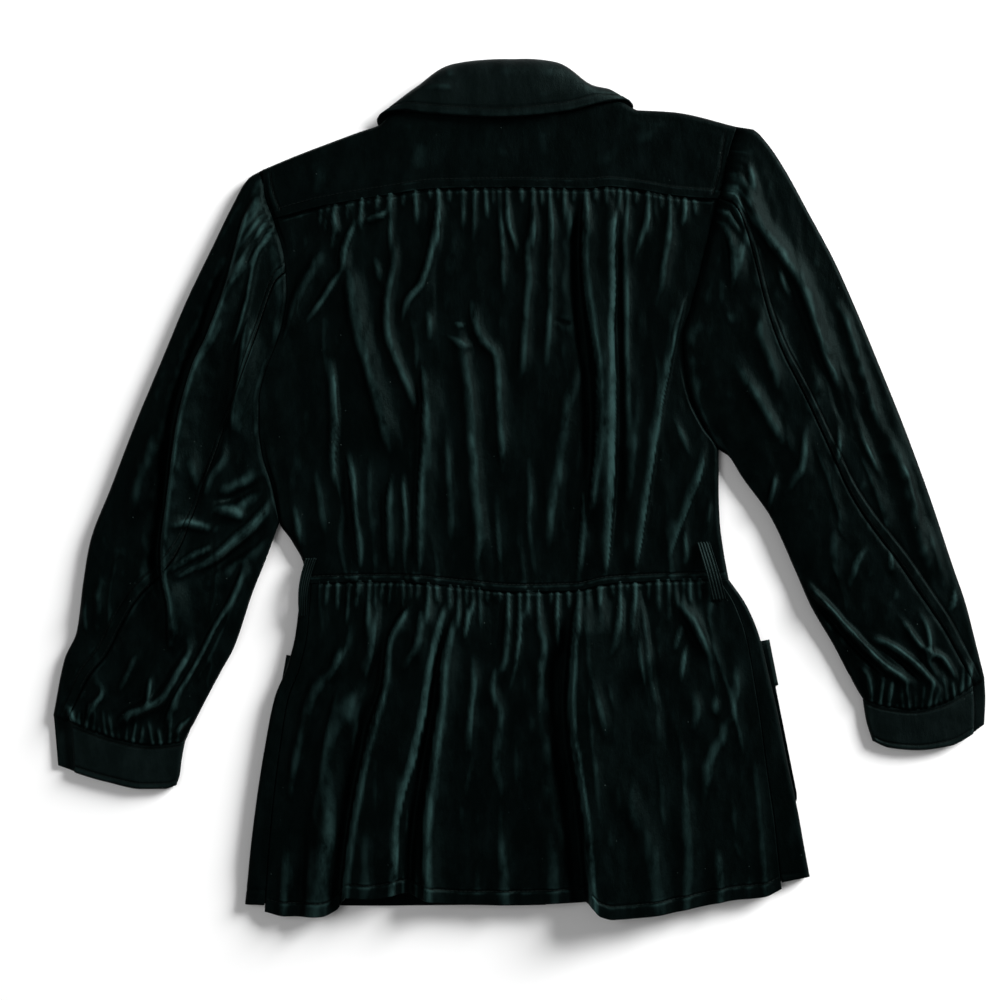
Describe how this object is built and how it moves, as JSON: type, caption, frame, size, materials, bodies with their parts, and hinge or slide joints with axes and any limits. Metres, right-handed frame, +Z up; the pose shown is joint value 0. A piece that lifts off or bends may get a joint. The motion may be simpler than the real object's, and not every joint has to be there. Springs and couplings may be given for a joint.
{
  "type": "velvet blazer jacket",
  "caption": "Dark velvet jacket laid flat face down, with a shirt collar, gathered back, full cuffed sleeves and a gathered peplum.",
  "frame": {"origin": "centre of the bounding box's base, on the surface the jacket lies on", "axes": "+Z up from the surface, the jacket's back facing up; +Y from hem to collar; +X across the back to the wearer's right"},
  "size_m": [0.8418, 0.7734, 0.0282],
  "materials": {
    "velvet": "cotton velvet pile",
    "covered_button": "velvet covered"
  },
  "bodies": {
    "root": {"back_yoke": "velvet", "back_bodice": "velvet", "front_left": "velvet", "front_right": "velvet", "peplum_back": "velvet", "peplum_front_left": "velvet", "peplum_front_right": "velvet", "sleeve_left_top": "velvet", "sleeve_left_under": "velvet", "sleeve_right_top": "velvet", "sleeve_right_under": "velvet", "cuff_left": "velvet", "cuff_right": "velvet", "collar_fall": "velvet", "collar_stand": "velvet", "pocket_left": "velvet", "pocket_right": "velvet", "pocket_flap_left": "velvet", "pocket_flap_right": "velvet", "belt_loop_left": "velvet", "belt_loop_right": "velvet", "button_1": "covered_button", "button_2": "covered_button", "button_3": "covered_button", "button_4": "covered_button", "button_5": "covered_button"}
  },
  "joints": []
}
